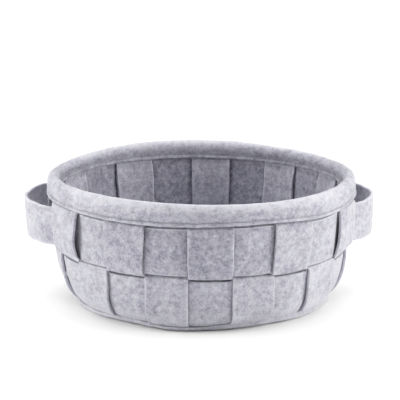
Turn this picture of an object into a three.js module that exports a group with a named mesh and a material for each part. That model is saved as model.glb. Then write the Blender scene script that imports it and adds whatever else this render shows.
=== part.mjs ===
// Round pet basket woven from wide strips of thick felt. Two ring bands pass over and under upright
// strips in a checker, a folded binding closes the rim, a bound disc makes the floor, and two strap
// handles are tucked under uprights at the sides.
// Millimetres, +Z up, origin at the centre of the underside, front towards -Y.
import * as THREE from 'three';

// Driving dimensions
const FELT = 5; // thickness of the strips
const GAP = 0.3; // air between neighbouring pieces
const LAYER = FELT + GAP;
const UPRIGHTS = 22;
const PITCH = (2 * Math.PI) / UPRIGHTS;
const UPRIGHT_FILL = 0.99; // share of the pitch that one upright covers
const WAVE = 2.2; // how far a band swings in and out between uprights
const BOW = 1.2; // extra swell of an upright at the middle of a row
const SQUEEZE = 0.75; // felt thickness left where a row is drawn tight

// Heights
const SEAM = 7.8; // lower ends of the strips
const LOWER_BAND_TOP = 80.8;
const UPPER_BAND_FOOT = 87.2;
const ROW_LINE = (LOWER_BAND_TOP + UPPER_BAND_FOOT) / 2;
const ROW_TOP = 156.3; // where the upper row is drawn tight under the binding
const UPPER_BAND_TOP = 159.6; // just below the binding, which leaves a narrow slot
const RIM_GRIP = 171; // where the uprights stand in the wall's middle, inside the binding
const UPRIGHT_TOP = 185;
const TOP = 192;

// Bowl: an almost upright wall that rounds in to the base
const WALL = { radius: 216.5, lean: 0.03, tuck: 45.4, reach: 35.1, power: 0.83 };

// Strap handles: each is centred on the sixth upright from the front, with its ends tucked under the
// fourth and the eighth
const HANDLE_CENTRE = 6;
const HANDLE_TUCK = 4;
const HANDLE_SPREAD = 1.49; // half of the bowed part, in uprights
const HANDLES = [
  { name: 'handle_right', side: 1, foot: 95, top: 152, rise: 35.6, sag: 1.2 },
  { name: 'handle_left', side: -1, foot: 94.5, top: 151.5, rise: 40.2, sag: 1.6 },
];
const HANDLE_COVER = { foot: 93.5, top: 152.8 }; // stretch of an upright that lies over a strap
const FREE_EDGE = 0.95; // share of that lift which the edge away from the bow has in the row's middle

// Rim binding: a roll over the strips' ends, with one folded leg outside them and one inside.
// Each row of a leg is the distance out from the roll's middle, and the height.
const ROLL = { middle: 221.5, outside: 8.5, inside: 3.9 };
const OUTER_LEG = [[5, 160.6], [8.4, 160.6], [9.7, 163], [7.8, 165.8], [8.5, 169.5]];
const INNER_LEG = [[-9.1, 173], [-10.9, 165.5], [-10.7, 163.5], [-6.9, 163.5], [-3.9, 175]];

// Base: a disc, and the rounded band round it, whose rows are radius and height
const DISC = { radius: 172.2, thickness: 5 };
const BASE_BAND = [[172.5, 0], [182.3, 0], [187, 1.6], [189, 3.9], [189.2, 5.7],
  [188.2, SEAM - GAP], [172.5, SEAM - GAP]];

// Slow unevenness of hand-sewn felt, growing from the flat base to the rim
const LIFTS = [{ waves: 1, size: 1.65, phase: 3.58 }, { waves: 3, size: 0.8, phase: Math.PI }];
const SPREADS = [{ waves: 2, size: 1.5, phase: 1.9 }, { waves: 3, size: 0.9, phase: 0.3 }];
const DRIFT = { from: 4.5, to: 17.5, size: THREE.MathUtils.degToRad(7) }; // strips creep round at the back
const FAN = { // strips spread towards the sides at the front of the base
  size: THREE.MathUtils.degToRad(4), middle: THREE.MathUtils.degToRad(-3), top: 75,
};
const NUDGE = { // the upper row sits further to the front beside the left handle
  size: THREE.MathUtils.degToRad(2.2), place: 18.5, reach: 1.5,
};

// Meshing: places across one upright, and heights along it
const COLUMN = 0.4;
const ACROSS = [-UPRIGHT_FILL, -COLUMN, COLUMN, UPRIGHT_FILL];
const LOWER_ROWS = [SEAM, 14, 22, 34, 50, 66, LOWER_BAND_TOP];
const UPPER_ROWS = [UPPER_BAND_FOOT, HANDLE_COVER.foot, 122, HANDLE_COVER.top, ROW_TOP, UPPER_BAND_TOP];
const UPRIGHT_ROWS = [...LOWER_ROWS, ROW_LINE, UPPER_BAND_FOOT, HANDLE_COVER.foot, 108, 122, 138,
  HANDLE_COVER.top, ROW_TOP, UPPER_BAND_TOP, 165, 172, UPRIGHT_TOP];
const TURN_STEPS = 66;

const feltGrey = new THREE.MeshStandardMaterial({ color: '#b6b6c0', roughness: 0.95, metalness: 0 });

const { clamp, lerp, smoothstep } = THREE.MathUtils;

// Radius of the middle surface of the weave
function wallRadius(height) {
  const rounding = Math.exp(-((Math.max(height, 0) / WALL.reach) ** WALL.power));
  return WALL.radius + WALL.lean * height - WALL.tuck * rounding;
}

// Outward direction of the wall in its upright section, as radius and height
function wallNormal(height) {
  const step = 0.5;
  const slope = (wallRadius(height + step) - wallRadius(height - step)) / (2 * step);
  return new THREE.Vector2(1, -slope).normalize();
}

// Angle of a place counted in uprights from the front: even, but for the back, the front of the base
// and the upper row beside the left handle
function placeAngle(place, height) {
  const round = THREE.MathUtils.euclideanModulo(place, UPRIGHTS);
  const share = clamp((round - DRIFT.from) / (DRIFT.to - DRIFT.from), 0, 1);
  const angle = round * PITCH - (DRIFT.size * (1 - Math.cos(2 * Math.PI * share))) / 2;
  const spread = FAN.size * (1 - smoothstep(height, SEAM, FAN.top));
  const near = clamp(Math.abs(round - NUDGE.place) / NUDGE.reach, 0, 1);
  const nudge = (NUDGE.size * (1 + Math.cos(Math.PI * near))) / 2;
  return angle + spread * Math.sin(angle - FAN.middle)
    + nudge * smoothstep(height, LOWER_BAND_TOP, UPPER_BAND_FOOT);
}

const waveSum = (waves, angle) => waves.reduce(
  (sum, wave) => sum + wave.size * Math.sin(wave.waves * angle + wave.phase),
  0,
);

// A place in the round, with the unevenness of the real basket
function settle(radius, angle, height) {
  const share = height / TOP;
  const reach = radius + share * waveSum(SPREADS, angle);
  const rise = height + share * waveSum(LIFTS, angle);
  return new THREE.Vector3(reach * Math.sin(angle), -reach * Math.cos(angle), rise);
}

// A place at a height, set off from the middle surface along the wall's normal
function wallPoint(angle, height, offset) {
  let foot = height;
  for (let pass = 0; pass < 5; pass += 1) {
    foot = height - wallNormal(foot).y * offset;
  }
  return settle(wallRadius(foot) + wallNormal(foot).x * offset, angle, height);
}

// Where a height lies in its row, from 0 at the row's foot to 1 at its top
function rowShare(height) {
  const inLower = height < ROW_LINE;
  const foot = inLower ? SEAM : ROW_LINE;
  const top = inLower ? ROW_LINE : ROW_TOP;
  return clamp((height - foot) / (top - foot), 0, 1);
}

// Felt is full in the middle of a row and drawn tight at the row lines
function fullness(height) {
  return 1 - (1 - SQUEEZE) * (2 * rowShare(height) - 1) ** 4;
}

// +1 where an even upright lies outside the bands, in the upper row, and -1 where it lies inside
function crossing(height) {
  const half = (UPPER_BAND_FOOT - LOWER_BAND_TOP) / 2;
  return clamp((height - ROW_LINE) / half, -1, 1);
}

const parity = (upright) => (upright % 2 === 0 ? 1 : -1);

// Middle of a ring band: it swings away from each upright that crosses it
function bandOffset(upright, across, height) {
  const swing = WAVE * (1 - across ** 4) * fullness(height);
  return -parity(upright) * Math.sign(height - ROW_LINE) * swing;
}

// Which way along the ring a strap lies from the upright that covers its end, 0 for other uprights
function towardsStrap(upright) {
  const place = upright > UPRIGHTS / 2 ? upright - UPRIGHTS : upright;
  const steps = HANDLE_CENTRE - Math.abs(place);
  return Math.abs(steps) === HANDLE_CENTRE - HANDLE_TUCK ? Math.sign(steps * place) : 0;
}

// One layer out from the hollow of the band behind
const nextLayer = (across) => LAYER - WAVE * (1 - across ** 2);

// Middle of an upright: one layer away from the band, drawn in under the rim, lifted over a strap
function uprightOffset(upright, across, height) {
  const drawnIn = 1 - smoothstep(height, UPPER_BAND_TOP, RIM_GRIP);
  const middling = 1 - (2 * rowShare(height) - 1) ** 2;
  const swell = BOW * middling;
  const side = parity(upright) * crossing(height) * drawnIn;
  const woven = side * (nextLayer(across) * fullness(height) + swell);
  const strapSide = towardsStrap(upright);
  if (strapSide === 0) {
    return woven;
  }
  const covered = smoothstep(height, UPPER_BAND_FOOT, HANDLE_COVER.foot)
    * (1 - smoothstep(height, HANDLE_COVER.top, ROW_TOP));
  const lifted = across * strapSide > -UPRIGHT_FILL ? 1 : FREE_EDGE * middling;
  return lerp(woven, nextLayer(across) + LAYER + swell, covered * lifted);
}

// Middle of a strap: one layer out from the band under its two uprights, a bow between them whose
// lower edge sags a little
function handlePoint(handle, turn, height) {
  const across = Math.min(2 * (HANDLE_CENTRE - HANDLE_TUCK - Math.abs(turn)), 1);
  const bow = 1 - Math.min(Math.abs(turn) / HANDLE_SPREAD, 1) ** 2;
  const low = (handle.top - height) / (handle.top - handle.foot);
  const angle = placeAngle(handle.side * (HANDLE_CENTRE + turn), height);
  const offset = nextLayer(across) + bow * handle.rise;
  return wallPoint(angle, height - bow * handle.sag * low, offset);
}

// A closed body through like sections, each with its outer points and then its inner ones reversed
function loftBody(sections, closesOnItself) {
  const count = sections[0].length;
  const spans = closesOnItself ? sections.length : sections.length - 1;
  const positions = sections.flat().flatMap((point) => point.toArray());
  const faces = [];
  const addQuad = (a, b, c, d) => faces.push(a, b, c, a, c, d);
  for (let i = 0; i < spans; i += 1) {
    const here = i * count;
    const there = ((i + 1) % sections.length) * count;
    for (let j = 0; j < count; j += 1) {
      const next = (j + 1) % count;
      addQuad(here + j, there + j, there + next, here + next);
    }
  }
  if (!closesOnItself) {
    const last = (sections.length - 1) * count;
    for (let j = 0; j < count / 2 - 1; j += 1) {
      const inner = count - 1 - j;
      addQuad(j, j + 1, inner - 1, inner);
      addQuad(last + inner, last + inner - 1, last + j + 1, last + j);
    }
  }
  const geometry = new THREE.BufferGeometry();
  geometry.setAttribute('position', new THREE.Float32BufferAttribute(positions, 3));
  geometry.setIndex(faces);
  geometry.computeVertexNormals();
  return geometry;
}

// A body of revolution from its closed upright section, made uneven as the wall is
function turnedBody(section) {
  const geometry = new THREE.LatheGeometry(section, TURN_STEPS).rotateX(Math.PI / 2);
  const places = geometry.attributes.position;
  for (let i = 0; i < places.count; i += 1) {
    const [x, y, z] = [places.getX(i), places.getY(i), places.getZ(i)];
    const point = settle(Math.hypot(x, y), Math.atan2(x, -y), z);
    places.setXYZ(i, ...point.toArray());
  }
  return geometry;
}

const basket = new THREE.Group();

function addPiece(name, geometry) {
  const piece = new THREE.Mesh(geometry, feltGrey);
  piece.name = name;
  basket.add(piece);
}

// A ring band, with its columns on those of the uprights
function bandBody(rows) {
  const sections = [];
  for (let upright = 0; upright < UPRIGHTS; upright += 1) {
    for (const across of ACROSS) {
      const face = (height, side) => {
        const half = (side * FELT * fullness(height)) / 2;
        const angle = placeAngle(upright + across / 2, height);
        return wallPoint(angle, height, bandOffset(upright, across, height) + half);
      };
      const outside = rows.map((height) => face(height, 1));
      const inside = rows.map((height) => face(height, -1));
      sections.push([...outside, ...inside.reverse()]);
    }
  }
  return loftBody(sections, true);
}

// One upright strip, from the base seam to its end inside the rim binding
function uprightBody(upright) {
  const sections = UPRIGHT_ROWS.map((height) => {
    const face = (across, side) => {
      const half = (side * FELT * fullness(height)) / 2;
      const angle = placeAngle(upright + across / 2, height);
      return wallPoint(angle, height, uprightOffset(upright, across, height) + half);
    };
    const outside = ACROSS.map((across) => face(across, 1));
    const inside = ACROSS.map((across) => face(across, -1));
    return [...outside.reverse(), ...inside];
  });
  return loftBody(sections, false);
}

// A strap handle, where turn is counted in uprights from the strap's middle
function handleBody(handle) {
  const bowSteps = 20;
  const tucked = [-COLUMN, COLUMN, UPRIGHT_FILL]
    .map((across) => HANDLE_TUCK + across / 2 - HANDLE_CENTRE);
  const bowed = Array.from({ length: bowSteps + 1 }, (_, i) => HANDLE_SPREAD * ((2 * i) / bowSteps - 1));
  const turns = [...tucked, ...bowed, ...tucked.map((turn) => -turn).reverse()];
  const heights = [handle.foot, (handle.foot + handle.top) / 2, handle.top];
  const middle = (turn, height) => handlePoint(handle, turn, height);
  const sections = turns.map((turn, i) => {
    const before = turns[Math.max(i - 1, 0)];
    const after = turns[Math.min(i + 1, turns.length - 1)];
    const face = (height, out) => {
      const along = middle(after, height).sub(middle(before, height)).setZ(0).normalize();
      const half = (handle.side * out * FELT) / 2;
      return middle(turn, height).add(new THREE.Vector3(along.y, -along.x, 0).multiplyScalar(half));
    };
    const outside = heights.map((height) => face(height, 1));
    const inside = heights.map((height) => face(height, -1));
    return [...outside, ...inside.reverse()];
  });
  return loftBody(handle.side > 0 ? sections : sections.reverse(), false);
}

// The binding's section: up the outer leg, over the roll, down the inner leg and back round the fold
function rimSection() {
  const rollHeight = TOP - ROLL.outside;
  const leg = (rows) => rows.map(([out, height]) => new THREE.Vector2(ROLL.middle + out, height));
  const section = new THREE.Path(leg(OUTER_LEG));
  section.absarc(ROLL.middle, rollHeight, ROLL.outside, 0, Math.PI, false);
  leg(INNER_LEG).forEach((point) => section.lineTo(point.x, point.y));
  section.absarc(ROLL.middle, rollHeight, ROLL.inside, Math.PI, 0, true);
  section.closePath();
  return section.getPoints(2);
}

// The base band's section, closed on its first point
function baseBandSection() {
  return [...BASE_BAND, BASE_BAND[0]].map(([radius, height]) => new THREE.Vector2(radius, height));
}

function discSection() {
  return [
    new THREE.Vector2(0, 0),
    new THREE.Vector2(DISC.radius, 0),
    new THREE.Vector2(DISC.radius, DISC.thickness),
    new THREE.Vector2(0, DISC.thickness),
  ];
}

addPiece('base_disc', turnedBody(discSection()));
addPiece('base_band', turnedBody(baseBandSection()));
addPiece('lower_band', bandBody(LOWER_ROWS));
addPiece('upper_band', bandBody(UPPER_ROWS));
for (let upright = 0; upright < UPRIGHTS; upright += 1) {
  addPiece(`upright_${String(upright).padStart(2, '0')}`, uprightBody(upright));
}
addPiece('rim_binding', turnedBody(rimSection()));
HANDLES.forEach((handle) => addPiece(handle.name, handleBody(handle)));

export default basket;
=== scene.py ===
# %% [markdown]
# A round basket woven from wide strips of thick felt. The lesson rebuilds every piece of it as a
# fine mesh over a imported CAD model: two ring bands, twenty-two uprights, a folded binding round the
# rim, a base with a rounded edge and two strap handles. The CAD model gives the frame and the size,
# and each mesh here follows the same rules with softer edges.

# %% Load the frame
import math

import bmesh
import bpy
import numpy as np
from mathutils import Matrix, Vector


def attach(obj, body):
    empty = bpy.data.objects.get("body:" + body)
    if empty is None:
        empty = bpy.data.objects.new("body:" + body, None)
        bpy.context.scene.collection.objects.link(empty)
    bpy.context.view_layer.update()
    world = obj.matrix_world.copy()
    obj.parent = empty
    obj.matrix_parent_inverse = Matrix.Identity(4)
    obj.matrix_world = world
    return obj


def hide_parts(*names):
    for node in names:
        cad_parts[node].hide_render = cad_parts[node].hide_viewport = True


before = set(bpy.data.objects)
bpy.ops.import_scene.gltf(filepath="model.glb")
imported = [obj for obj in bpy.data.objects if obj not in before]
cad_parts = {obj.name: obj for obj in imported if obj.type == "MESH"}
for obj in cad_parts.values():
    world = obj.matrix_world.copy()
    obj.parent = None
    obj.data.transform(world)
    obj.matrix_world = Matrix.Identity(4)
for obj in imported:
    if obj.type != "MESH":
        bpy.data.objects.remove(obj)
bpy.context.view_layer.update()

# %% [markdown]
# The camera stands a little above the rim, far away, with a long lens, so that the rim reads as a
# shallow ellipse. It could be set by eye. Here it is set by a distance, an elevation and an azimuth
# from the middle of the rim, because each can then be fitted alone. The aim is tipped until that
# middle falls on its pixel of the picture.

# %% Camera
PICTURE = 400  # pixels
FOCAL = 1800  # pixels
SENSOR = 36  # millimetres
RIM_MIDDLE = Vector((0, 0, 0.192))
RIM_PIXEL = (202, 169.5)
EYE = {"distance": 2.675, "elevation": math.radians(12.3), "azimuth": math.radians(-3.1)}

camera_data = bpy.data.cameras.new("camera")
camera_data.sensor_width = SENSOR
camera_data.lens = SENSOR * FOCAL / PICTURE
camera = bpy.data.objects.new("camera", camera_data)
bpy.context.collection.objects.link(camera)
level = EYE["distance"] * math.cos(EYE["elevation"])
camera.location = RIM_MIDDLE + Vector((
    level * math.sin(EYE["azimuth"]),
    -level * math.cos(EYE["azimuth"]),
    EYE["distance"] * math.sin(EYE["elevation"]),
))
dip = EYE["elevation"] + math.atan((PICTURE / 2 - RIM_PIXEL[1]) / FOCAL)
swing = EYE["azimuth"] + math.atan((RIM_PIXEL[0] - PICTURE / 2) / FOCAL)
camera.rotation_euler = (math.pi / 2 - dip, 0, swing)
bpy.context.scene.camera = camera
print("camera at", [round(x, 3) for x in camera.location], "lens", camera_data.lens)

# %% [markdown]
# The floor is one large pale plane. It is so wide that its far edge lies above the picture, which
# saves a curved backdrop.

# %% Floor
FLOOR_COLOUR = (0.95, 0.95, 0.95)
FLOOR_CORNERS = [(-9, -6, 0), (9, -6, 0), (9, 12, 0), (-9, 12, 0)]

floor_mesh = bpy.data.meshes.new("floor")
floor_mesh.from_pydata(FLOOR_CORNERS, [], [(0, 1, 2, 3)])
floor = bpy.data.objects.new("floor", floor_mesh)
floor_finish = bpy.data.materials.new("pale_floor")
floor_finish.use_nodes = True
floor_shader = floor_finish.node_tree.nodes["Principled BSDF"]
floor_shader.inputs["Base Color"].default_value = (*FLOOR_COLOUR, 1)
floor_shader.inputs["Roughness"].default_value = 0.9
floor.data.materials.append(floor_finish)
bpy.context.collection.objects.link(floor)
print("floor", floor.dimensions[:])

# %% [markdown]
# The light is that of a product table. A broad overhead sun whitens the floor, two soft boxes at
# the sides model the weave, and a weak one behind lifts the rim. The side towards the camera stays
# dimmer, so that the middle of the front is the darkest part of the wall. A light dome would be
# simpler, but it would fill the weave's shadows evenly.

# %% Lights
WORLD_LIGHT = 0.03
LIGHT_AIM = Vector((0, 0, 0.1))
WARM = (1, 1, 0.94)
LIGHTS = [  # name, kind, energy, place, settings
    ("overhead", "SUN", 4.6, (-0.1, 0.6, 4), {"angle": math.radians(60)}),
    ("left_box", "AREA", 30.0, (-1.6, -0.18, 0.62), {"size": 1.1, "color": WARM}),
    ("right_box", "AREA", 45.5, (1.7, -0.35, 0.75), {"size": 1.3, "color": WARM}),
    ("rear_box", "AREA", 6.0, (0, 1.6, 1.6), {"size": 1.3}),
]


def add_light(name, kind, energy, place, settings):
    data = bpy.data.lights.new(name, kind)
    data.energy = energy
    for key, value in settings.items():
        setattr(data, key, value)
    light = bpy.data.objects.new(name, data)
    light.location = place
    light.rotation_euler = (LIGHT_AIM - Vector(place)).to_track_quat("-Z", "Y").to_euler()
    bpy.context.collection.objects.link(light)


for entry in LIGHTS:
    add_light(*entry)
world = bpy.data.worlds.new("studio")
world.use_nodes = True
background = world.node_tree.nodes["Background"]
background.inputs["Color"].default_value = (1, 1, 1, 1)
background.inputs["Strength"].default_value = WORLD_LIGHT
bpy.context.scene.world = world
print("lights", [light.name for light in bpy.data.lights])

# %% [markdown]
# A camera does not cut its whites off at once: above a knee they roll off towards white. The same
# could be done in the compositor. The curve of the scene's view settings was chosen, because it
# needs no further nodes and leaves everything below the knee as it is.

# %% Film curve
KNEE = 0.45
WHITE = 1.35
SHOULDER = 0.62
CURVE_STEPS = 9
COMBINED = 3  # the curve that acts on all three colours


def film(bright):
    share = 1 - np.exp(-SHOULDER * (bright - KNEE) / (1 - KNEE))
    full = 1 - math.exp(-SHOULDER * (WHITE - KNEE) / (1 - KNEE))
    return KNEE + (1 - KNEE) * share / full


view = bpy.context.scene.view_settings
view.view_transform = "Standard"
view.use_curve_mapping = True
view.curve_mapping.white_level = (WHITE, WHITE, WHITE)
for bright in np.linspace(KNEE, WHITE, CURVE_STEPS)[:-1]:
    view.curve_mapping.curves[COMBINED].points.new(bright / WHITE, film(bright))
view.curve_mapping.update()
print("film shows a brightness of 1 as", round(float(film(1.0)), 3))

# %% [markdown]
# A shader's sums could be wired by hand, one Math node after another. Two small classes let them be
# written as plain Python, which is easier to read. A `Signal` is a socket that can be added and
# multiplied, and a `Finish` is a material that makes nodes and hands out their signals.

# %% Shader sums
class Signal:
    def __init__(self, tree, socket):
        self.tree = tree
        self.socket = socket

    def sum(self, operation, left, right):
        node = self.tree.nodes.new("ShaderNodeMath")
        node.operation = operation
        for slot, item in zip(node.inputs, (left, right)):
            feed(self.tree, slot, item)
        return Signal(self.tree, node.outputs[0])

    def __add__(self, other):
        return self.sum("ADD", self, other)

    def __sub__(self, other):
        return self.sum("SUBTRACT", self, other)

    def __mul__(self, other):
        return self.sum("MULTIPLY", self, other)

    __radd__ = __add__
    __rmul__ = __mul__


def feed(tree, slot, item):
    if isinstance(item, Signal):
        tree.links.new(item.socket, slot)
    else:
        slot.default_value = item


class Finish:
    def __init__(self, name):
        self.material = bpy.data.materials.new(name)
        self.material.use_nodes = True
        self.tree = self.material.node_tree
        self.shader = self.tree.nodes["Principled BSDF"]

    def make(self, kind, output, settings=None, **inputs):
        node = self.tree.nodes.new(kind)
        for key, value in (settings or {}).items():
            setattr(node, key, value)
        for key, item in inputs.items():
            feed(self.tree, node.inputs[key.replace("_", " ")], item)
        return Signal(self.tree, node.outputs[output])

    def noise(self, place, scale, detail, **inputs):
        inputs = {"Vector": place, "Scale": scale, "Detail": detail, **inputs}
        return self.make("ShaderNodeTexNoise", "Fac", **inputs)

    def blend(self, factor, dark, pale):
        """A colour between two. The Mix node's colour sockets share a name, so they go by number."""
        colour = self.make("ShaderNodeMix", 2, {"data_type": "RGBA"})
        mix = colour.socket.node
        feed(self.tree, mix.inputs["Factor"], factor)
        mix.inputs[6].default_value = (*dark, 1)
        mix.inputs[7].default_value = (*pale, 1)
        return colour

    def set(self, **inputs):
        for key, item in inputs.items():
            feed(self.tree, self.shader.inputs[key.replace("_", " ")], item)


# %% [markdown]
# Felt is pressed fibre. Its colour is a heather of pale and darker grey in soft specks and short
# streaks, its face is matt with a faint bloom, and its relief is a close grain. A picture of felt
# would repeat and need an unwrapped mesh, so all is made from noise, on a coordinate that each piece
# carries in the attribute `cloth`: millimetres around, up and through the felt. A second attribute,
# `pale`, makes it paler or darker where painted highlights, painted light and painted shade lie.

# %% Felt
FELT_DARK = (0.15, 0.147, 0.194)
FELT_PALE = (0.447, 0.443, 0.511)
MIDDLE_SHADE = 0.53
HEATHER_GAIN = 1.58
HEATHER = [  # stretch along the felt's height, scale in specks per millimetre, detail, weight
    (0.85, 0.33, 3, 0.72),
    (0.8, 0.12, 2, 0.72),
    (0.8, 0.035, 2, 0.34),
]
SMUDGE = {"scale": 0.21, "from": 0.6, "gain": 5, "dark": 0.3}


def heather(felt, cloth):
    layers = []
    for stretch, scale, detail, weight in HEATHER:
        drawn = felt.make("ShaderNodeVectorMath", "Vector", {"operation": "MULTIPLY"})
        feed(felt.tree, drawn.socket.node.inputs[0], cloth)
        feed(felt.tree, drawn.socket.node.inputs[1], (scale, scale * stretch, scale))
        layers.append(weight * (felt.noise(drawn, 1, detail) - 0.5))
    return sum(layers[1:], layers[0])


def make_felt():
    felt = Finish("grey_felt")
    cloth = felt.make("ShaderNodeAttribute", "Vector", {"attribute_name": "cloth"})
    # the attribute pale carries painted highlights, painted light and painted shade
    pale = felt.make("ShaderNodeAttribute", "Fac", {"attribute_name": "pale"})
    spread = felt.noise(cloth, SMUDGE["scale"], 2)
    smudge = felt.make("ShaderNodeClamp", "Result", Value=SMUDGE["gain"] * (spread - SMUDGE["from"]))
    shade = MIDDLE_SHADE + pale + HEATHER_GAIN * heather(felt, cloth) - SMUDGE["dark"] * smudge
    colour = felt.blend(felt.make("ShaderNodeClamp", "Result", Value=shade), FELT_DARK, FELT_PALE)
    grain = felt.noise(cloth, 0.75, 5, Roughness=0.6)
    relief = felt.make("ShaderNodeBump", "Normal", Strength=0.45, Distance=0.0012, Height=grain)
    felt.set(Base_Color=colour, Roughness=0.88 + 0.1 * grain, Normal=relief)
    felt.set(Sheen_Weight=0.3, Sheen_Roughness=0.5, Specular_IOR_Level=0.15)
    return felt.material


felt_finish = make_felt()
print("felt", len(felt_finish.node_tree.nodes), "nodes")

# %% [markdown]
# The thread is twisted from several plies and close to the felt in colour. At this distance only a
# fleck of lighter and darker grey is left of the twist, so one fine noise stands for it.

# %% Thread
THREAD_DARK = (0.25, 0.25, 0.29)
THREAD_PALE = (0.42, 0.42, 0.47)
PLY_SCALE = 900  # flecks per metre


def make_thread():
    thread = Finish("grey_thread")
    place = thread.make("ShaderNodeTexCoord", "Object")
    ply = thread.noise(place, PLY_SCALE, 2)
    thread.set(Base_Color=thread.blend(ply, THREAD_DARK, THREAD_PALE), Roughness=0.6 + 0.2 * ply)
    return thread.material


thread_finish = make_thread()
print("thread", len(thread_finish.node_tree.nodes), "nodes")

# %% [markdown]
# The wall is a bowl of revolution: nearly upright at the rim and rounded in towards the base. It
# could be a lathed mesh with the strips shrink-wrapped to it. Here it is a formula for the radius at
# a height, so that a strip can be set off from it by so many millimetres along its normal. NumPy
# works out a whole strip at once, in millimetres.

# %% The bowl
MM = 0.001
SEAM = 7.8  # height of the strips' lower ends
TOP = 192  # height of the rim
WALL = {"radius": 216.5, "lean": 0.03, "tuck": 45.4, "reach": 35.1, "power": 0.83}


def smooth(value, low, high):
    share = np.clip((value - low) / (high - low), 0, 1)
    return share * share * (3 - 2 * share)


def hump(distance, width):
    return np.exp(-(distance / width) ** 2)


def wall_radius(height):
    rounding = np.exp(-((np.maximum(height, 0) / WALL["reach"]) ** WALL["power"]))
    return WALL["radius"] + WALL["lean"] * height - WALL["tuck"] * rounding


def wall_normal(height):
    slope = wall_radius(height + 0.5) - wall_radius(height - 0.5)
    length = np.hypot(1, slope)
    return 1 / length, -slope / length


print("wall radius at the seam and at the rim", wall_radius(np.array([SEAM, TOP])).round(1))

# %% [markdown]
# Hand sewing is uneven. The seam at the base and the outer edge of the binding rise and fall as they
# go round, and the roll of the rim lies lower at the rear corners. Noise would give some unevenness,
# but not that of the real basket, so three short tables say it. Each pairs angles from the front in
# degrees with lengths in millimetres, and the places between are interpolated.

# %% Uneven sewing
def signed(angle):
    """The same angle, between minus half a turn and plus half a turn."""
    return np.mod(angle + math.pi, 2 * math.pi) - math.pi


def table_rule(table):
    places, lengths = np.transpose(table)
    return lambda angle: np.interp(signed(angle), np.radians(places), lengths)


seam_lift = table_rule([  # how much higher than drawn the strips were sewn to the base
    (-180, 1.2), (-120, 0.8), (-78, 0.9), (-55, 0.6), (-44, 4.0), (-36, 3.9), (-30, 2.4),
    (-19, -0.4), (-10, -1.2), (-2, -0.5), (4, 1.6), (9, 3.2), (18, 2.6), (25, 3.0), (32, 5.0),
    (51, 4.4), (75, 2.4), (120, 0.9), (180, 1.2),
])
hem_lift = table_rule([  # how much higher than its lowest the binding's outer edge was sewn
    (-180, 3.0), (-120, 3.0), (-80, 3.0), (-56, 3.6), (-48, 2.9), (-36, 2.5), (-28, 2.2),
    (-16, 2.9), (-9, 3.5), (-4, 3.8), (1, 4.8), (7, 5.0), (13, 5.7), (19, 6.2), (27, 5.0),
    (33, 3.6), (40, 1.6), (47, 0.6), (80, 2.6), (120, 3.0), (180, 3.0),
])
roll_dip = table_rule([  # how much lower than drawn the roll of the rim lies
    (-180, 0), (-160, 0.6), (-145, 2.4), (-130, 4.2), (-114, 5.4), (-97, 2.8), (-82, 0), (82, 0),
    (97, 2.2), (115, 4.2), (138, 2.8), (146, 2.7), (155, 1.2), (162, 0.1), (180, 0),
])
print("the hem at the front is lifted by", hem_lift(0.0).round(2))

# %% [markdown]
# The bowl itself is not quite round or level either. A few slow sine waves widen and lift it towards
# the rim, and at one place at the front the foot of the wall stands out. `settle` puts any point of
# the basket through this, so that all pieces move together. `wall_point` finds the point at a given
# height and distance off the wall, with a few rounds of correction.

# %% Points on the wall
LIFTS = [(1, 1.65, 3.58), (3, 0.8, math.pi)]  # waves round the rim, size, phase
SPREADS = [(2, 1.5, 1.9), (3, 0.9, 0.3)]
BULGE = {"angle": math.radians(-16), "width": math.radians(11), "size": 6, "top": 45}
BULGE_RADII = (174, 186)
CORRECTIONS = 6


def wave_sum(waves, angle):
    return sum(size * np.sin(count * angle + phase) for count, size, phase in waves)


def bulge(radius, angle, height):
    aside = signed(angle - BULGE["angle"])
    reach = smooth(radius, *BULGE_RADII) * (1 - smooth(height, 0, BULGE["top"]))
    return BULGE["size"] * hump(aside, BULGE["width"]) * reach


def settle(radius, angle, height):
    share = height / TOP
    reach = radius + share * wave_sum(SPREADS, angle) + bulge(radius, angle, height)
    rise = height + share * wave_sum(LIFTS, angle)
    return np.stack([reach * np.sin(angle), -reach * np.cos(angle), rise], axis=-1)


def wall_point(angle, height, offset):
    angle, height, offset = np.broadcast_arrays(angle, height, offset)
    foot = height
    for _ in range(CORRECTIONS):
        foot = height - wall_normal(foot)[1] * offset
    return settle(wall_radius(foot) + wall_normal(foot)[0] * offset, angle, height)


print("front of the wall, half way up", wall_point(0.0, TOP / 2, 0.0).round(1))

# %% [markdown]
# Twenty-two uprights share the round. A place is counted in uprights, so 3.5 is the line between the
# fourth and the fifth. Equal steps would be the simple way. The real strips drift at the back, fan
# out a little at the base, and some are turned where the handles pull at them, so the angle of a
# place is its equal step plus these three.

# %% Spacing of the strips
UPRIGHTS = 22
PITCH = 2 * math.pi / UPRIGHTS
LOWER_TOP = 80.8
UPPER_FOOT = 87.2
ROW_LINE = (LOWER_TOP + UPPER_FOOT) / 2
ROW_TOP = 156.3
DRIFT = {"from": 4.5, "to": 17.5, "size": math.radians(7)}
FAN = {"size": math.radians(4), "middle": math.radians(-3), "top": 75}
NUDGES = [  # place, reach to both sides, turn in degrees at the upper row's foot and at its top
    (18.5, 1.5, 1.08, 2.5),
    (20.5, 1.0, -0.5, 0.9),
    (2.0, 1.6, -1.3, -1.3),
    (3.5, 1.0, 0.5, 1.2),
]


def nudge(around, height):
    upper_row = smooth(height, LOWER_TOP, UPPER_FOOT)
    total = 0
    for middle, reach, low, high in NUDGES:
        near = np.clip(np.abs(around - middle) / reach, 0, 1)
        turn = low + (high - low) * smooth(height, ROW_LINE, ROW_TOP)
        total = total + np.radians(turn) * (1 + np.cos(math.pi * near)) / 2 * upper_row
    return total


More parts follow.
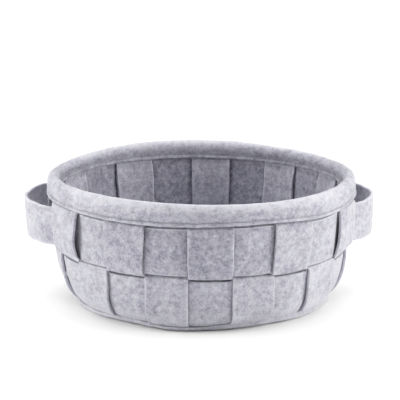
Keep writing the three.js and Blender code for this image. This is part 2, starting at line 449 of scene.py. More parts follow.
def place_angle(place, height):
    around = np.mod(place, UPRIGHTS)
    share = np.clip((around - DRIFT["from"]) / (DRIFT["to"] - DRIFT["from"]), 0, 1)
    angle = around * PITCH - DRIFT["size"] * (1 - np.cos(2 * math.pi * share)) / 2
    spread = FAN["size"] * (1 - smooth(height, SEAM, FAN["top"]))
    return angle + nudge(around, height) + spread * np.sin(angle - FAN["middle"])


print("angles of the first uprights", np.degrees(place_angle(np.arange(4), ROW_LINE)).round(1))

# %% [markdown]
# Real felt is never quite flat. A noise modifier on each piece would make pieces that lie on each
# other clash. Here one slow field of dents runs over the whole wall, so that they move together. It
# is a sum of sines and fades out at the base and under the binding. A second helper gives the slight
# wander of a cut edge. Each draw has its own seed, so that a change to one piece leaves the others.

# %% Dents and wandering edges
DENT_COUNT = 18
DENTED = (30, 140)  # heights between which the dents are full
WANDERS = {  # seed, size in millimetres
    "strip": (100, 0.35), "ring_lower": (301, 0.15), "ring_upper": (302, 0.15), "strap": (400, 0.7),
    "hem": (501, 0.3), "roll": (502, 0.5), "lip": (503, 0.25), "base_edge": (601, 0.6),
}
dice = np.random.default_rng(11)


def draw_dent():
    return (
        dice.integers(4, 26),  # waves round the wall
        dice.uniform(0.012, 0.07),  # slant
        dice.uniform(0, 2 * math.pi),  # phase
        dice.uniform(0.06, 0.16),  # depth
    )


DENTS = [draw_dent() for _ in range(DENT_COUNT)]


def dents(angle, height):
    field = 0
    for count, rise, phase, size in DENTS:
        field = field + size * np.sin(count * angle + rise * height + phase)
    return field * smooth(height, SEAM, DENTED[0]) * (1 - smooth(height, DENTED[1], ROW_TOP))


def wander(along, edge, number=0):
    seed, size = WANDERS[edge]
    draw = np.random.default_rng(seed + number)
    waves = [(2 * math.pi / draw.uniform(18, 70), draw.uniform(0, 6.3)) for _ in range(5)]
    return size * sum(np.sin(rate * along + phase) for rate, phase in waves) / 2.2


print("dents at the row line", dents(np.linspace(0, math.pi, 5), ROW_LINE).round(2))

# %% [markdown]
# A strip has four cut edges, softly rounded. A bevel modifier could round them, but it would treat
# all edges alike, also those that are sewn down. Here the rounding is part of the mesh: close to an
# edge the columns crowd together and the two faces draw in. One helper lists the crowded places, and
# another says how far a face has dropped at a distance from its edge.

# %% Soft edges
FELT = 5.0  # thickness
SOFT_EDGE = 1.7
EDGE_STEPS = [SOFT_EDGE * (1 - math.cos(math.radians(turn))) for turn in (0, 25, 48, 70, 90)]


def crowded(low, high, spacing, unit=1.0):
    """Places from low to high with rows crowded into both edges; unit turns millimetres into places."""
    near = [low + step * unit for step in EDGE_STEPS]
    far = [high - step * unit for step in reversed(EDGE_STEPS)]
    count = max(2, round((far[0] - near[-1]) / (spacing * unit)))
    inner = np.linspace(near[-1], far[0], count + 1)[1:-1]
    return np.concatenate([near, inner, far])


def dropped(distance):
    inside = np.clip(SOFT_EDGE - distance, 0, SOFT_EDGE)
    return SOFT_EDGE - np.sqrt(SOFT_EDGE ** 2 - inside ** 2)


print("steps into an edge", np.round(EDGE_STEPS, 2))

# %% [markdown]
# Every sheet is a closed body between two faces, each a grid of points. A grid with a Solidify
# modifier would be shorter, but then the two faces could not differ. The helper joins the grids into
# one mesh, closes it at its ends or into a ring, and writes both attributes of the felt.

# %% Bodies
def add_object(name, mesh):
    piece = bpy.data.objects.new(name, mesh)
    bpy.context.collection.objects.link(piece)
    return piece


def finish_mesh(mesh, cloth, pale):
    layers = [("cloth", "FLOAT_VECTOR", "vector", cloth), ("pale", "FLOAT", "value", pale)]
    for key, kind, slot, values in layers:
        layer = mesh.attributes.new(key, kind, "POINT")
        layer.data.foreach_set(slot, np.ascontiguousarray(values, dtype=np.float32).ravel())
    mesh.materials.append(felt_finish)
    mesh.shade_smooth()
    mesh.update()


def body_faces(rows, columns, ring):
    """Quads round the section of a body, and at both its ends if it is no ring."""
    loop = 2 * columns
    here = np.arange(rows if ring else rows - 1)[:, None] * loop
    there = np.mod(here + loop, rows * loop)
    side = np.arange(loop)[None, :]
    after = np.mod(side + 1, loop)
    quads = np.stack([here + side, there + side, there + after, here + after], axis=-1)
    faces = quads.reshape(-1, 4).tolist()
    for start in () if ring else (0, (rows - 1) * loop):
        for column in range(columns - 1):
            back = loop - 1 - column
            faces.append([start + column, start + column + 1, start + back - 1, start + back])
    return faces


def add_body(name, outer, inner, ring=False):
    """A closed body between two like faces, each a grid of points, of cloth places and of paleness."""
    rows, columns = outer[0].shape[:2]
    pairs = zip(outer, inner)
    points, cloth, pale = (np.concatenate([near, far[:, ::-1]], axis=1) for near, far in pairs)
    mesh = bpy.data.meshes.new(name)
    mesh.from_pydata((points.reshape(-1, 3) * MM).tolist(), [], body_faces(rows, columns, ring))
    shell = bmesh.new()
    shell.from_mesh(mesh)
    bmesh.ops.recalc_face_normals(shell, faces=shell.faces)
    shell.to_mesh(mesh)
    shell.free()
    finish_mesh(mesh, cloth, pale)
    return add_object(name, mesh)


# %% [markdown]
# Every piece starts at its own place in the felt's noise, as strips cut from different parts of a
# roll do. A cut edge gets a painted highlight, and the foot of the wall gets painted light from
# the bright floor. These tones could be painted by hand. As rules of distance and height they fit every
# piece.

# %% Place on the roll and paleness
# Painted highlight along cut edges, for the light that their corners catch.
CUT_EDGE_HIGHLIGHT = 0.36
# Painted light at the foot of the wall, for the light thrown up by the floor.
FOOT_BOUNCE_LIGHT = 0.3
FOOT_TOP = 40  # height at which the foot of the wall ends
ROLL_SEEDS = {
    "strip": 200, "ring_lower": 301, "ring_upper": 302, "strap": 410, "binding": 510,
    "base_edge": 610, "base_floor": 620,
}


def painted_edge_highlight(distance):
    return CUT_EDGE_HIGHLIGHT * (1 - smooth(distance, 0.6, 2.4))


def painted_bounce_light(height):
    return FOOT_BOUNCE_LIGHT * (1 - smooth(height, SEAM, FOOT_TOP))


def cloth_of(around, up, through, seed):
    """Where on the roll of felt the points of a piece were, in millimetres."""
    grid = np.stack(np.broadcast_arrays(around, up, through), axis=-1)
    return grid + np.random.default_rng(seed).uniform(-4000, 4000, 3)


def with_tone(points, cloth, pale):
    """One face of a body, with its paleness spread over the whole grid."""
    return points, cloth, np.broadcast_to(pale, points.shape[:2])


def wall_face(angle, height, middle, reach, around, seed, pale):
    """One face of a strip on the wall, at a reach from the strip's middle."""
    points = wall_point(angle, height, middle + reach)
    return with_tone(points, cloth_of(around, height, reach, seed), pale)


print("paleness of a cut edge", painted_edge_highlight(0))

# %% [markdown]
# In the weave an even upright lies outside the upper band and inside the lower one, and an odd one
# the other way round. A strip is full in the middle of a row and drawn tight at the row lines. It
# changes sides just beside the band that it dives under, so that the step shows as a dark line. A
# cloth simulation could find all this, but stiff felt hardly moves, and rules keep the pieces clear.

# %% Weave rules
LAYER = 5.3  # from the middle of one sheet to the next
WAVE = 2.2
SQUEEZE = 0.75
TIGHTNESS = 6
STEP = 4.2  # height in which a strip changes sides
SHORT_STEP = 2.2


def row_share(height):
    lower = (height - SEAM) / (ROW_LINE - SEAM)
    upper = (height - ROW_LINE) / (ROW_TOP - ROW_LINE)
    return np.clip(np.where(height < ROW_LINE, lower, upper), 0, 1)


def fullness(height):
    return 1 - (1 - SQUEEZE) * (2 * row_share(height) - 1) ** TIGHTNESS


def parity(upright):
    return np.where(np.mod(upright, 2) == 0, 1, -1)


def crossing(upright, height):
    """From -1 below the row line to 1 above it. Odd strips away from the front change sides faster."""
    even = 2 * smooth(height, LOWER_TOP, LOWER_TOP + STEP) - 1
    from_front = np.abs(np.mod(upright + UPRIGHTS / 2, UPRIGHTS) - UPRIGHTS / 2)
    odd = 2 * smooth(height, UPPER_FOOT - np.where(from_front < 2, STEP, SHORT_STEP), UPPER_FOOT) - 1
    return np.where(parity(upright) > 0, even, odd)


def next_layer(across):
    return LAYER - WAVE * (1 - across ** 2)


def band_offset(place, height):
    upright = np.round(place)
    across = 2 * (place - upright)
    swing = WAVE * (1 - np.abs(across) ** 4) * fullness(height)
    return -parity(upright) * np.sign(height - ROW_LINE) * swing


print("a band stands out by", band_offset(np.array([0.0, 0.5, 1.0]), 120.0).round(2))

# %% [markdown]
# Four uprights hold the straps: each covers a strap's end, so over the upper row it lies one layer
# further out. Its other edge is free. At the right that edge comes half way back to the wall, and at
# the left it stands off even further than the rest. All other outer strips only stand out a little at
# their tops, where the binding is thick.

# %% Offset of an upright
STRIP_WIDTH = 61.7
FILL = 0.99  # share of its cell that a strip fills
BOW = 1.2
UPPER_TOP = 159.6
RIM_GRIP = 171
FLUSH = {"size": 2.2, "rows": (95, 150), "top": (ROW_TOP - 2.8, ROW_TOP + 0.6)}
# Uprights that cover a strap's end: their side towards it, and the lift of their free edge
HOLDERS = {4: (1, 0.45), 8: (-1, 0.45), 14: (1, 1.25), 18: (-1, 1.25)}
COVER = {"foot": (UPPER_FOOT, 93.5), "top": (155.8, 159.0)}
COLUMN = 0.4


def upright_offset(upright, across, height):
    drawn_in = 1 - smooth(height, UPPER_TOP, RIM_GRIP)
    middling = 1 - (2 * row_share(height) - 1) ** 2
    swell = BOW * middling
    side = parity(upright) * crossing(upright, height) * drawn_in
    woven = side * (next_layer(across) * fullness(height) + swell)
    if upright not in HOLDERS:
        flush = smooth(height, *FLUSH["rows"]) * (1 - smooth(height, *FLUSH["top"]))
        return woven + FLUSH["size"] * flush * (parity(upright) > 0)
    covered = smooth(height, *COVER["foot"]) * (1 - smooth(height, *COVER["top"]))
    strap_side, free_lift = HOLDERS[upright]
    near = np.clip((across * strap_side + FILL) / (FILL - COLUMN), 0, 1)
    free = free_lift * middling
    lifted = covered * (free + (1 - free) * near)
    return woven + (next_layer(across) + LAYER + swell - woven) * lifted


print("an upright stands out by", upright_offset(0, np.array([0.0, FILL]), 120.0).round(2))

# %% [markdown]
# The uprights give the basket its height. Each is a grid of rows up the wall and columns across the
# strip, with the rows crowded at the row line, where the strip changes sides. One strip could be
# copied round, but then all would have the same edges, dents and heather. A function that makes each
# from its number costs no more.

# %% Uprights
UPRIGHT_TOP = 185
ROW_SPACING = 3.0
COLUMN_SPACING = 3.3
UPRIGHT_ROWS = np.concatenate([
    crowded(SEAM, 78, ROW_SPACING)[:-len(EDGE_STEPS)],
    np.linspace(78, 90, 17),
    np.linspace(93, 150, 20),
    np.linspace(151.5, 164, 14),
    np.linspace(168, UPRIGHT_TOP, 5),
])
SEWN_DOWN = 0.1  # how much of its rounding an end keeps under a seam
SEAM_CLEAR = 0.1
THINNEST = 0.35
HEM_FROM = 125  # height from which the sewing of the binding pulls a strip up
HEM_TO = 180
ROW_PAINTED_LIGHT_AND_SHADE = {1: -0.05, -1: 0.06}  # painted shade on strips outside in the upper row, painted light on strips outside in the lower row
STRIP_PAINTED_LIGHT_AND_SHADE = {0: -0.07, 20: -0.08, 18: -0.02, 19: 0.05, 3: 0.05}  # painted shade and painted light on single strips


def sewn_height(place, height):
    """Heights at the foot of the wall, lifted to the seam as it was sewn."""
    lift = SEAM_CLEAR + seam_lift(place_angle(place, SEAM))
    return height + lift * (1 - smooth(height, SEAM, FOOT_TOP))


def make_upright(upright):
    rows = UPRIGHT_ROWS[:, None]
    across = crowded(-FILL, FILL, COLUMN_SPACING, 2 / STRIP_WIDTH)[None, :]
    edge = (FILL - np.abs(across)) * STRIP_WIDTH / 2
    shift = wander(rows, "strip", upright) * np.sign(across) * smooth(np.abs(across), 0.6, FILL)
    place = upright + across / 2 + shift / STRIP_WIDTH
    height = sewn_height(place, rows)
    angle = place_angle(place, height)
    half = FELT / 2 * fullness(height) - dropped(edge) - SEWN_DOWN * dropped(rows - SEAM)
    half = np.maximum(half, THINNEST)
    offset = upright_offset(upright, across, height) + dents(angle, height)
    if upright % 2 == 0:
        raised = smooth(height, HEM_FROM, ROW_TOP) * (1 - smooth(height, UPPER_TOP, HEM_TO))
        height = height + hem_lift(angle) * raised
    height = height - roll_dip(angle) * smooth(height, RIM_GRIP, UPRIGHT_TOP)
    around = across * STRIP_WIDTH / 2
    pale = painted_edge_highlight(edge) + painted_bounce_light(height) + ROW_PAINTED_LIGHT_AND_SHADE[int(parity(upright))]
    pale = pale + STRIP_PAINTED_LIGHT_AND_SHADE.get(upright, 0)
    seed = ROLL_SEEDS["strip"] + upright
    faces = [wall_face(angle, height, offset, half * side, around, seed, pale) for side in (1, -1)]
    return add_body(f"strip_{upright:02d}", *faces)


upright_pieces = [make_upright(number) for number in range(UPRIGHTS)]
print("uprights", len(upright_pieces), "points each", len(upright_pieces[0].data.vertices))

# %% [markdown]
# The two ring bands run once round the basket and hold the uprights. In each cell where the upper
# band lies outside, the real one leaves a dark slot just under the binding, so its outer face is cut
# back there. Where four cells meet, a straight-cut band would leave a pinhole of light, which soft
# felt does not. Both bands bulge a little towards each other at these corners.

# %% Ring bands
BAND_GAP = 0.5
BAND_SPACING = 3.2
HIDDEN_TOP = 1.7  # how far the upper band reaches on under the binding
CORNER = {"bulge": 3.9, "width": 1.0, "reach": 5}
# Painted shade on the inner face of both bands.
INNER_PAINTED_SHADE = 0.12
SLOT = {"depth": 3.7, "foot": 152.8, "rows": [151.4, 152.2, 152.8, 153.3, 153.8, 154.4], "left": 0.4}


def corner_bulge(places, share):
    from_corner = (0.5 - np.abs(places - np.round(places))) * STRIP_WIDTH
    rising = smooth(share, LOWER_TOP - CORNER["reach"], LOWER_TOP - BAND_GAP) * (share < ROW_LINE)
    falling = (1 - smooth(share, UPPER_FOOT, UPPER_FOOT + CORNER["reach"])) * (share > ROW_LINE)
    return CORNER["bulge"] * hump(from_corner, CORNER["width"]) * (rising - falling)


def slot_recess(outside, share, half):
    recess = np.where(outside & (share > SLOT["foot"]), SLOT["depth"], 0)
    recess = recess * smooth(share, SLOT["foot"], SLOT["foot"] + 1)
    return np.minimum(recess, 2 * half - SLOT["left"])


def make_band(name, foot, top, band_painted_light_and_shade, foot_round):
    seed = ROLL_SEEDS[name]
    cell = crowded(-0.5, 0.5, COLUMN_SPACING, 1 / STRIP_WIDTH)[:-1]
    places = np.concatenate([number + cell for number in range(UPRIGHTS)])[:, None]
    rows = [row for row in SLOT["rows"] if foot < row < top]
    share = np.sort(np.concatenate([crowded(foot, top, BAND_SPACING), rows]))[None, :]
    around = places * STRIP_WIDTH
    sway = wander(around, name) * smooth(share, SEAM, FOOT_TOP)
    height = sewn_height(places, share + sway)
    height = height + hem_lift(place_angle(places, ROW_TOP)) * smooth(share, HEM_FROM, SLOT["foot"])
    height = height + corner_bulge(places, share)
    angle = place_angle(places, height)
    half = FELT / 2 * fullness(height) - foot_round * dropped(share - foot) - dropped(top - share)
    half = np.maximum(half, THINNEST)
    offset = band_offset(places, height) + dents(angle, height)
    outside = parity(np.round(places)) * np.sign(foot - ROW_LINE) < 0
    pale = band_painted_light_and_shade + painted_bounce_light(height) + foot_round * painted_edge_highlight(share - foot)
    pale = pale + painted_edge_highlight(np.where(outside, np.abs(share - SLOT["foot"]), top - share))
    recess = slot_recess(outside, share, half)
    outer = wall_face(angle, height, offset, half - recess, around, seed, pale)
    inner = wall_face(angle, height, offset, -half, around, seed, pale - INNER_PAINTED_SHADE)
    return add_body(name, outer, inner, ring=True)


# Painted light on the lower band and painted shade on the upper band.
ring_lower = make_band("ring_lower", SEAM, LOWER_TOP - BAND_GAP, 0.09, SEWN_DOWN)
ring_upper = make_band("ring_upper", UPPER_FOOT, UPPER_TOP + HIDDEN_TOP, -0.07, 1)
print("ring points", len(ring_lower.data.vertices), len(ring_upper.data.vertices))

# %% [markdown]
# A strap handle is a flat strip on edge. Its ends lie on the upper band under two uprights, and it
# bows out between them. Its lower edge sags and flares a little from being carried. A curve with a
# flat bevel could make it, but its ends have to lie on the wall, so it uses the wall's own rules.

# %% Strap handles
STRAPS = {
    "right": {"side": 1, "foot": 95.0, "top": 152.0, "rise": 35.6, "sag": 2.8, "flare": 2.4},
    "left": {"side": -1, "foot": 94.5, "top": 151.5, "rise": 40.2, "sag": 3.6, "flare": 0.6},
}
HANDLE_CENTRE = 6  # places are counted in uprights
HANDLE_REACH = 2  # from a strap's middle to the upright that covers its end
HANDLE_SPREAD = 1.49
STRAP_TUCKED = 1.505
STRAP_FADE = (1.2, 1.5)
HANDLE_END = HANDLE_REACH + COLUMN / 2
STRAP_TURNS = np.concatenate([
    np.linspace(-HANDLE_END, -STRAP_TUCKED, 8),
    np.linspace(-HANDLE_SPREAD, HANDLE_SPREAD, 73),
    np.linspace(STRAP_TUCKED, HANDLE_END, 8),
])


def strap_point(strap, turn, height):
    across = np.minimum(2 * (HANDLE_REACH - np.abs(turn)), 1)
    bow = 1 - np.minimum(np.abs(turn) / HANDLE_SPREAD, 1) ** 2
    low = (strap["top"] - height) / (strap["top"] - strap["foot"])
    angle = place_angle(strap["side"] * (HANDLE_CENTRE + turn), height)
    reach = next_layer(across) + bow * (strap["rise"] + strap["flare"] * low)
    return wall_point(angle, height - bow * strap["sag"] * low, reach)


def square_to(path, places):
    """Directions square to a path in plan, one for each of its points."""
    along = np.gradient(path, places, axis=0)
    along[..., 2] = 0
    along /= np.linalg.norm(along, axis=-1, keepdims=True)
    return np.stack([along[..., 1], -along[..., 0], 0 * along[..., 0]], axis=-1)


def make_strap(name, strap):
    turn = STRAP_TURNS[:, None]
    share = crowded(strap["foot"], strap["top"], ROW_SPACING)[None, :]
    around = turn * STRIP_WIDTH
    sway = wander(around, "strap", strap["side"]) * (1 - smooth(np.abs(turn), *STRAP_FADE))
    middle = strap_point(strap, turn, share + sway)
    normal = square_to(middle, STRAP_TURNS) * strap["side"]
    edge = np.minimum(share - strap["foot"], strap["top"] - share)
    half = np.maximum(FELT / 2 - dropped(edge), THINNEST) + 0 * turn
    faces = []
    for side in (1, -1):
        cloth = cloth_of(around, share, half * side, ROLL_SEEDS["strap"] + strap["side"])
        faces.append(with_tone(middle + normal * half[..., None] * side, cloth, painted_edge_highlight(edge)))
    return add_body(f"strap_{name}", *faces)


strap_pieces = [make_strap(name, strap) for name, strap in STRAPS.items()]
print("straps", [piece.name for piece in strap_pieces])

# %% [markdown]
# The binding and the base edge are both felt turned once round the basket. A Screw modifier could
# turn a section, but it could not let the section wander as it goes round. So the section is a closed
# path of short straight runs with round corners, and a rule moves each of its points at each angle.

# %% Turned pieces
TURN_STEPS = 330
BEND_STEPS = 5
DRAWN_OUT = 1.2  # how much the heather is drawn out along the section


def turns(count):
    return (np.arange(count) * 2 * math.pi / count)[:, None]


TURN_ANGLES = turns(TURN_STEPS)


def rounded_path(corners):
    """A closed path of points with every corner replaced by a smooth bend of the given size."""
    points = []
    count = len(corners)
    for index in range(count):
        before, here, after = (np.array(corners[(index + shift) % count][:2]) for shift in (-1, 0, 1))
        size = corners[index][2]
        start = here + (before - here) * min(size / np.linalg.norm(before - here), 0.48)
        finish = here + (after - here) * min(size / np.linalg.norm(after - here), 0.48)
        for share in np.linspace(0, 1, BEND_STEPS):
            bend = (1 - share) ** 2 * start + 2 * share * (1 - share) * here + share ** 2 * finish
            points.append(bend)
    return np.array(points)


def make_turned(name, path, pale, unevenness):
    radius = path[None, :, 0]
    height = path[None, :, 1]
    lean, sag = unevenness(TURN_ANGLES, radius, height)
    points = settle(radius + lean, TURN_ANGLES, height + sag)
    steps = np.linalg.norm(np.diff(path, axis=0), axis=1)
    run = np.concatenate([[0], np.cumsum(steps)])[None, :]
    cloth = cloth_of(TURN_ANGLES * path[:, 0].mean(), run * DRAWN_OUT, 0.0, ROLL_SEEDS[name])
    grids = with_tone(points, cloth, pale)
    half = path.shape[0] // 2
    first = [grid[:, :half] for grid in grids]
    second = [grid[:, half:][:, ::-1] for grid in grids]
    return add_body(name, first, second, ring=True)


# %% [markdown]
# The binding is one length of felt folded over the strips' ends and sewn through near its lower
# edge. The sewing draws a shallow groove into the outer leg and leaves a rolled lip below it. Over
# the four strips that cover the straps' ends the felt is too thick for that: the groove fills up and
# the lip lies flat.

# %% Section of the binding
ROLL_RADIUS = 221.5
RIM_PATH = [  # distance out from the middle of the roll, height, rounding
    (5.0, 157.6, 0.6), (8.8, 157.6, 1.6), (10.0, 160.1, 1.3), (8.4, 162.1, 0.5), (6.3, 162.6, 0.3),
    (7.5, 163.5, 0.5), (8.3, 167.0, 2.5), (9.2, 175.5, 4.0), (8.3, 182.5, 4.0), (6.0, 188.2, 3.0),
    (2.2, 191.6, 2.5), (-2.6, 191.6, 2.5), (-6.8, 189.0, 3.0), (-9.0, 184.0, 3.0), (-9.4, 178.5, 3.0),
    (-8.5, 173.0, 3.0), (-7.4, 169.6, 0.8), (-7.0, 168.6, 0.3), (-8.4, 167.6, 0.5), (-9.0, 165.8, 1.0),
    (-8.7, 163.5, 1.0), (-6.9, 163.5, 0.6), (-3.9, 175.0, 3.0), (-3.9, 187.4, 3.6), (3.9, 187.4, 3.6),
]
RIM_RANGES = {"leg": (158, 172), "hem": (164, 182), "roll": (RIM_GRIP, 186), "outer": (2, 4.5)}
GROOVE = {"height": 162.7, "width": 0.75, "filled": 2.2, "lip": 0.9, "lip_top": (161.5, 162.6)}
COVERS = place_angle(np.array(list(HOLDERS)), ROW_TOP)
COVER_REACH = (math.radians(7), math.radians(10.5))


def strap_cover(angle):
    """One where the binding lies over a strip that holds a strap, and zero elsewhere."""
    aside = [np.abs(signed(angle - middle)) for middle in COVERS]
    return 1 - smooth(np.min(aside, axis=0), *COVER_REACH)


def rim_unevenness(angle, radius, height):
    around = angle * ROLL_RADIUS
    low = 1 - smooth(height, *RIM_RANGES["leg"])
    outside = smooth(radius - ROLL_RADIUS, *RIM_RANGES["outer"])
    hem = hem_lift(angle) * outside * (1 - smooth(height, *RIM_RANGES["hem"]))
    sag = wander(around, "hem") * low + hem
    sag = sag - roll_dip(angle) * smooth(height, *RIM_RANGES["roll"])
    lean = wander(around, "roll") * (1 - low) + wander(around, "lip") * low
    filled = GROOVE["filled"] * hump(height - GROOVE["height"], GROOVE["width"])
    flattened = GROOVE["lip"] * (1 - smooth(height, *GROOVE["lip_top"]))
    return lean + strap_cover(angle) * outside * (filled - flattened), sag


rim_path = rounded_path(RIM_PATH)
rim_path[:, 0] += ROLL_RADIUS
rim_path = rim_path[: len(rim_path) // 2 * 2]  # an even count, so that its halves match
print("points of the section", len(rim_path))

# %% [markdown]
# The roll of the binding gets painted light on top and a slight painted shade all round. At its
# two ends, over the straps, and on its inner face at the right rear it gets more painted shade. This
# painted light and shade is a grid, one value for each angle and each point of the section, so that it
# can follow both.

# %% Binding
ROLL_TOP_PAINTED_LIGHT = 0.38
ROLL_BASE = -0.02
ROLL_TOP = (173, 190)
END_PAINTED_SHADE = 0.14
ENDS = (0.74, 0.98)
# Painted shade on the inner face of the roll at the right rear.
REAR_PAINTED_SHADE = {"angle": math.radians(139), "width": math.radians(17), "dim": 0.2}

ends = smooth(np.abs(np.sin(TURN_ANGLES)), *ENDS)
# Painted light on top of the roll, painted shade at its two ends and a slight painted shade all round.
roll_painted_light_and_shade = ROLL_TOP_PAINTED_LIGHT * smooth(rim_path[:, 1], *ROLL_TOP) * (1 - ends) - END_PAINTED_SHADE * ends + ROLL_BASE
inner_side = smooth(ROLL_RADIUS - rim_path[:, 0], 2, 7)
rear_painted_shade = hump(TURN_ANGLES - REAR_PAINTED_SHADE["angle"], REAR_PAINTED_SHADE["width"])
roll_painted_light_and_shade = roll_painted_light_and_shade - REAR_PAINTED_SHADE["dim"] * rear_painted_shade * inner_side
binding = make_turned("binding", rim_path, roll_painted_light_and_shade, rim_unevenness)
print("binding points", len(binding.data.vertices))

# %% [markdown]
# The base has a narrow rounded edge, on which the strips' lower ends are sewn. The sewing pulls it
# about, so its top follows the seam, and at two places its lower lip curls up off the floor. At the
# two sides the lip lies a millimetre lower.

# %% Base edge
EDGE_PATH = [  # distance from the axis, height, rounding
    (172.5, 0.0, 0.4), (177.0, 0.0, 1.0), (182.0, 0.6, 1.5), (188.2, 2.0, 0.6), (189.6, 2.8, 0.6),
    (190.2, 5.0, 1.0), (190.2, 7.4, 0.3), (188.0, 7.75, 0.3), (172.5, 7.75, 0.4), (172.5, 3.8, 0.4),
]
EDGE_RADIUS = 185
# Painted light on the base edge, which lies in the shade of the wall above it.
BASE_EDGE_PAINTED_LIGHT = 0.42
LIP_PART = (0.2, 2.2)  # heights over which the lip comes free of the floor
SEWN_PART = (3.4, 7.0)  # heights over which the edge gives way to the seam
# Angle, half width and lift of each curl
CURLS = [(math.radians(-38), math.radians(14), 3.2), (math.radians(27), math.radians(12), 3.0)]


def edge_unevenness(angle, radius, height):
    side = np.sin(angle) ** 2
    turned = signed(angle)
    upper = smooth(height, *SEWN_PART)
    curl = sum(size * hump(turned - middle, width) for middle, width, size in CURLS)
    curl = curl * smooth(height, *LIP_PART) * (1 - upper)
    lift = curl + seam_lift(angle) * upper - side * smooth(height, 0, 2.4)
    return wander(angle * EDGE_RADIUS, "base_edge") * smooth(height, 0, 4), lift


base_edge = make_turned("base_edge", rounded_path(EDGE_PATH), BASE_EDGE_PAINTED_LIGHT, edge_unevenness)
print("base edge points", len(base_edge.data.vertices))

# %% [markdown]
# The floor of the basket is a disc of felt with shallow dents. As a grid of spokes and rings it can
# use the same helper as the strips. All spokes meet in the middle, so the points there are joined.

# %% Base disc
DISC = {"radius": 172.2, "rings": np.linspace(0, 164, 24), "spokes": 96}


def close_pole(piece):
    shell = bmesh.new()
    shell.from_mesh(piece.data)
    bmesh.ops.remove_doubles(shell, verts=shell.verts, dist=1e-6)
    loose = [edge for edge in shell.edges if edge.is_wire]
    bmesh.ops.delete(shell, geom=loose, context="EDGES")
    shell.to_mesh(piece.data)
    shell.free()
    return piece


def make_disc():
    rim = DISC["radius"] - np.array(EDGE_STEPS[::-1])
    radius = np.concatenate([DISC["rings"], rim])[None, :]
    angle = turns(DISC["spokes"])
    x = radius * np.sin(angle)
    y = -radius * np.cos(angle)
    hollow = 0.25 * (np.sin(x / 23 + 1) * np.sin(y / 29) + np.sin(x / 41 - y / 37)) - 0.25
    edge = dropped(DISC["radius"] - radius)
    top = np.stack([x, y, FELT + hollow - edge * 1.2], axis=-1)
    under = np.stack([x, y, edge + 0 * x], axis=-1)
    sides = ((top, FELT / 2), (under, -FELT / 2))
    seed = ROLL_SEEDS["base_floor"]
    faces = [with_tone(face, cloth_of(x, y, side, seed), 0.0) for face, side in sides]
    return close_pole(add_body("base_floor", *faces, ring=True))


base_floor = make_disc()
print("base disc points", len(base_floor.data.vertices))

# %% [markdown]
# The sewing line on the binding is a repeat along a path, which is work for Geometry Nodes. The path
# is a ring of points laid in the groove. The nodes place a slim, rounded stitch at every step, turn
# it along the path, make it real and give it the thread's finish.

# %% Stitch nodes
STITCH = {"Pitch": 0.0046, "Length": 0.0036, "Width": 0.0009}
BEAD = {"Segments": 8, "Rings": 5, "Radius": 0.5}


def stitch_tree():
    tree = bpy.data.node_groups.new("stitches", "GeometryNodeTree")
    socket = tree.interface.new_socket
    socket("Path", in_out="INPUT", socket_type="NodeSocketGeometry")
    for name in STITCH:
        socket(name, in_out="INPUT", socket_type="NodeSocketFloat")
    socket("Stitches", in_out="OUTPUT", socket_type="NodeSocketGeometry")
    node = tree.nodes.new
    given = node("NodeGroupInput")
    result = node("NodeGroupOutput")
    curve = node("GeometryNodeMeshToCurve")
    steps = node("GeometryNodeCurveToPoints")
    steps.mode = "LENGTH"
    bead = node("GeometryNodeMeshUVSphere")
    for key, value in BEAD.items():
        bead.inputs[key].default_value = value
    size = node("ShaderNodeCombineXYZ")
    shape = node("GeometryNodeTransform")
    turn = node("FunctionNodeAlignRotationToVector")
    turn.axis = "X"
    place = node("GeometryNodeInstanceOnPoints")
    real = node("GeometryNodeRealizeInstances")
    coat = node("GeometryNodeSetMaterial")
    coat.inputs["Material"].default_value = thread_finish
    links = [
        (given, "Path", curve, "Mesh"),
        (curve, "Curve", steps, "Curve"),
        (given, "Pitch", steps, "Length"),
        (given, "Length", size, "X"),
        (given, "Width", size, "Y"),
        (given, "Width", size, "Z"),
        (bead, "Mesh", shape, "Geometry"),
        (size, "Vector", shape, "Scale"),
        (steps, "Tangent", turn, "Vector"),
        (steps, "Points", place, "Points"),
        (shape, "Geometry", place, "Instance"),
        (turn, "Rotation", place, "Rotation"),
        (place, "Instances", real, "Geometry"),
        (real, "Geometry", coat, "Geometry"),
        (coat, "Geometry", result, "Stitches"),
    ]
    for source, output, target, slot in links:
        tree.links.new(source.outputs[output], target.inputs[slot])
    return tree


stitches = stitch_tree()
print("stitch nodes", len(stitches.nodes))

# %% [markdown]
# A modifier runs the nodes on the path, and its result is kept as a plain mesh.

# %% Stitches
RING_POINTS = 720
OUTER_LINE = (7.2, 162.65)  # distance out from the middle of the roll, height
INNER_LINE = (-7.5, 169.0)


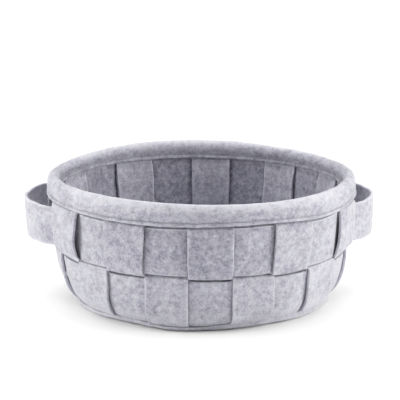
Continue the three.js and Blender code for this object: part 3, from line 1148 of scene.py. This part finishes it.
def sew(name, out, height):
    angle = turns(RING_POINTS)[:, 0]
    radius = np.full_like(angle, ROLL_RADIUS + out)
    lean, sag = rim_unevenness(angle, radius, np.full_like(angle, height))
    points = settle(radius + lean, angle, height + sag) * MM
    edges = [(index, (index + 1) % RING_POINTS) for index in range(RING_POINTS)]
    path = bpy.data.meshes.new(name + "_path")
    path.from_pydata(points.tolist(), edges, [])
    holder = add_object(name + "_path", path)
    modifier = holder.modifiers.new("nodes", "NODES")
    modifier.node_group = stitches
    for item in stitches.interface.items_tree:
        if item.in_out == "INPUT" and item.name in STITCH:
            modifier[item.identifier] = STITCH[item.name]
    graph = bpy.context.evaluated_depsgraph_get()
    mesh = bpy.data.meshes.new_from_object(holder.evaluated_get(graph), depsgraph=graph)
    mesh.name = name
    bpy.data.objects.remove(holder)
    return add_object(name, mesh)


outer_stitches = sew("outer_stitches", *OUTER_LINE)
inner_stitches = sew("inner_stitches", *INNER_LINE)
print("stitch faces", len(outer_stitches.data.polygons), len(inner_stitches.data.polygons))

# %% [markdown]
# Every piece now rides on the root body, and where it stands for a CAD solid, that solid is hidden.
# A strip's flat size is worked out as its width times the length of its path up the wall, and a
# strap's as its width times its length round.

# %% Ride and replace
STRAP_LINE = 123.0  # height at which a strap's length is measured


def path_length(points):
    return float(np.linalg.norm(np.diff(points, axis=0), axis=-1).sum()) * MM


def dress(piece, node):
    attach(piece, "root")
    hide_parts(node)


middle_offset = upright_offset(0, np.zeros(len(UPRIGHT_ROWS)), UPRIGHT_ROWS)
climb = path_length(wall_point(0.0, UPRIGHT_ROWS, middle_offset))
for number, piece in enumerate(upright_pieces):
    flat = (0.060, round(climb, 4))
    dress(piece, f"upright_{number:02d}")
dress(ring_lower, "lower_band")
dress(ring_upper, "upper_band")
dress(binding, "rim_binding")
dress(base_edge, "base_band")
dress(base_floor, "base_disc")
for (name, strap), piece in zip(STRAPS.items(), strap_pieces):
    line = strap_point(strap, np.linspace(-HANDLE_END, HANDLE_END, 120), np.full(120, STRAP_LINE))
    flat = (0.057, round(path_length(line), 4))
    dress(piece, f"handle_{name}")
for piece in (outer_stitches, inner_stitches):
    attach(piece, "root")
print("climb of an upright", round(climb, 4))
